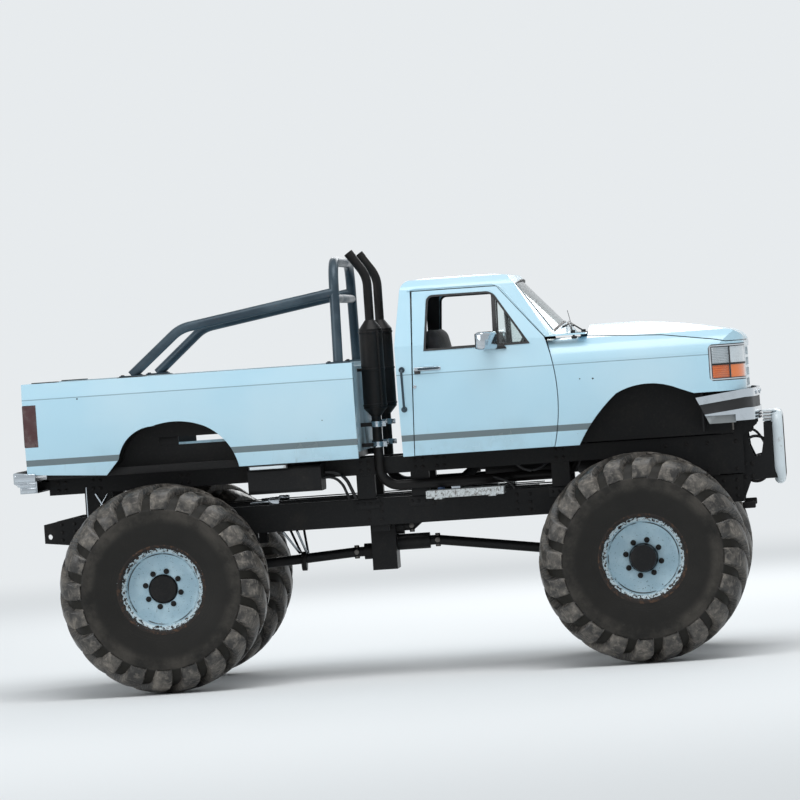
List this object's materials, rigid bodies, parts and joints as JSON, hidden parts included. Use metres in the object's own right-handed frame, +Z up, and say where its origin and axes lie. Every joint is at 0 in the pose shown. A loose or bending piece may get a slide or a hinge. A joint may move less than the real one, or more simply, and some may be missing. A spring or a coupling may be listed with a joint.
{
  "type": "monster truck",
  "caption": "Full-size pickup body on a tall ladder chassis with big lugged tyres, roll hoop, exhaust stacks, opening doors, hood and tailgate.",
  "frame": {"origin": "middle of the truck's footprint box, on the ground", "axes": "+X forward, +Y to the truck's left, +Z up"},
  "size_m": [5.8926, 2.59, 3.2851],
  "materials": {
    "body_paint": "light blue-white gloss enamel",
    "black_chassis": "satin black paint with dust",
    "black_steel": "dull black steel with road dirt",
    "spring_steel": "dark scaled spring steel",
    "bar_steel": "blue-grey satin steel tube",
    "white_paint": "white paint with rust and dirt at the edges",
    "chrome_trim": "bright chrome",
    "tyre_rubber": "brown-black rubber with dried dust",
    "clear_glass": "clear safety glass",
    "lamp_clear": "ribbed clear lens",
    "lamp_amber": "amber lens",
    "lamp_red": "dark red lens",
    "seat_cloth": "dark woven cloth",
    "black_plastic": "grained black plastic",
    "grey_plastic": "dull grey plastic",
    "tread_plate": "pale tread plate"
  },
  "bodies": {
    "root": {"bed": "body_paint", "body_frame_rails": "black_chassis", "bumper_brackets": "black_chassis", "bumpers": "chrome_trim", "cab": "body_paint", "cab_glass": "clear_glass", "chassis_members": "black_chassis", "chassis_rails": "black_chassis", "dashboard": "black_plastic", "drive_line": "black_steel", "engine": "black_steel", "engine_bay_panels": "black_chassis", "exhaust_stacks": "black_chassis", "fenders": "body_paint", "front_axle": "black_steel", "front_valance": "grey_plastic", "fuel_tank": "black_chassis", "grille": "chrome_trim", "headlamps": "lamp_clear", "lamp_bezels": "chrome_trim", "leaf_springs": "spring_steel", "push_bar": "white_paint", "rear_axle": "black_steel", "roll_bar": "bar_steel", "seat": "seat_cloth", "shock_absorbers": "black_steel", "steering_wheel": "black_plastic", "step_plates": "tread_plate", "tail_lamps": "lamp_red", "turn_lamps": "lamp_amber"},
    "wheel_front_right": {"tyre_front_right": "tyre_rubber", "rim_front_right": "white_paint", "hub_front_right": "black_steel"},
    "wheel_front_left": {"tyre_front_left": "tyre_rubber", "rim_front_left": "white_paint", "hub_front_left": "black_steel"},
    "wheel_rear_right": {"tyre_rear_right": "tyre_rubber", "rim_rear_right": "white_paint", "hub_rear_right": "black_steel"},
    "wheel_rear_left": {"tyre_rear_left": "tyre_rubber", "rim_rear_left": "white_paint", "hub_rear_left": "black_steel"},
    "knuckle_right": {"knuckle_right": "black_steel"},
    "knuckle_left": {"knuckle_left": "black_steel"},
    "tie_rod": {"tie_rod": "black_steel"},
    "door_right": {"door_right": "body_paint", "door_glass_right": "clear_glass", "mirror_right": "chrome_trim"},
    "door_left": {"door_left": "body_paint", "door_glass_left": "clear_glass", "mirror_left": "chrome_trim"},
    "hood": {"hood": "body_paint"},
    "tailgate": {"tailgate": "body_paint"}
  },
  "joints": [
    {"name": "steer_right", "type": "hinge", "parent": "root", "child": "knuckle_right", "pos_m": [1.835, -0.7, 0.8], "axis": [0, 0, 1], "range_deg": [-22, 22]},
    {"name": "steer_left", "type": "hinge", "parent": "root", "child": "knuckle_left", "pos_m": [1.835, 0.7, 0.8], "axis": [0, 0, 1], "range_deg": [-22, 22]},
    {"name": "tie_rod_pivot", "type": "hinge", "parent": "knuckle_right", "child": "tie_rod", "pos_m": [2.115, -0.7, 0.708], "axis": [0, 0, 1], "range_deg": [-22, 22]},
    {"name": "spin_front_right", "type": "hinge", "parent": "knuckle_right", "child": "wheel_front_right", "pos_m": [1.835, -1, 0.8], "axis": [0, 1, 0], "continuous": true},
    {"name": "spin_front_left", "type": "hinge", "parent": "knuckle_left", "child": "wheel_front_left", "pos_m": [1.835, 1, 0.8], "axis": [0, 1, 0], "continuous": true},
    {"name": "spin_rear_right", "type": "hinge", "parent": "root", "child": "wheel_rear_right", "pos_m": [-1.835, -1, 0.8], "axis": [0, 1, 0], "continuous": true},
    {"name": "spin_rear_left", "type": "hinge", "parent": "root", "child": "wheel_rear_left", "pos_m": [-1.835, 1, 0.8], "axis": [0, 1, 0], "continuous": true},
    {"name": "door_right_hinge", "type": "hinge", "parent": "root", "child": "door_right", "pos_m": [1.264, -1.0033, 2.106], "axis": [0, 0, 1], "range_deg": [0, 65]},
    {"name": "door_left_hinge", "type": "hinge", "parent": "root", "child": "door_left", "pos_m": [1.264, 1.0033, 2.106], "axis": [0, 0, -1], "range_deg": [0, 65]},
    {"name": "hood_hinge", "type": "hinge", "parent": "root", "child": "hood", "pos_m": [1.511, 0, 2.6], "axis": [0, -1, 0], "range_deg": [0, 50]},
    {"name": "tailgate_hinge", "type": "hinge", "parent": "root", "child": "tailgate", "pos_m": [-2.815, 0, 1.818], "axis": [0, -1, 0], "range_deg": [0, 90]}
  ],
  "couplings": [
    {"joint": "steer_left", "follows": "steer_right", "ratio": 1},
    {"joint": "tie_rod_pivot", "follows": "steer_right", "ratio": -1}
  ]
}
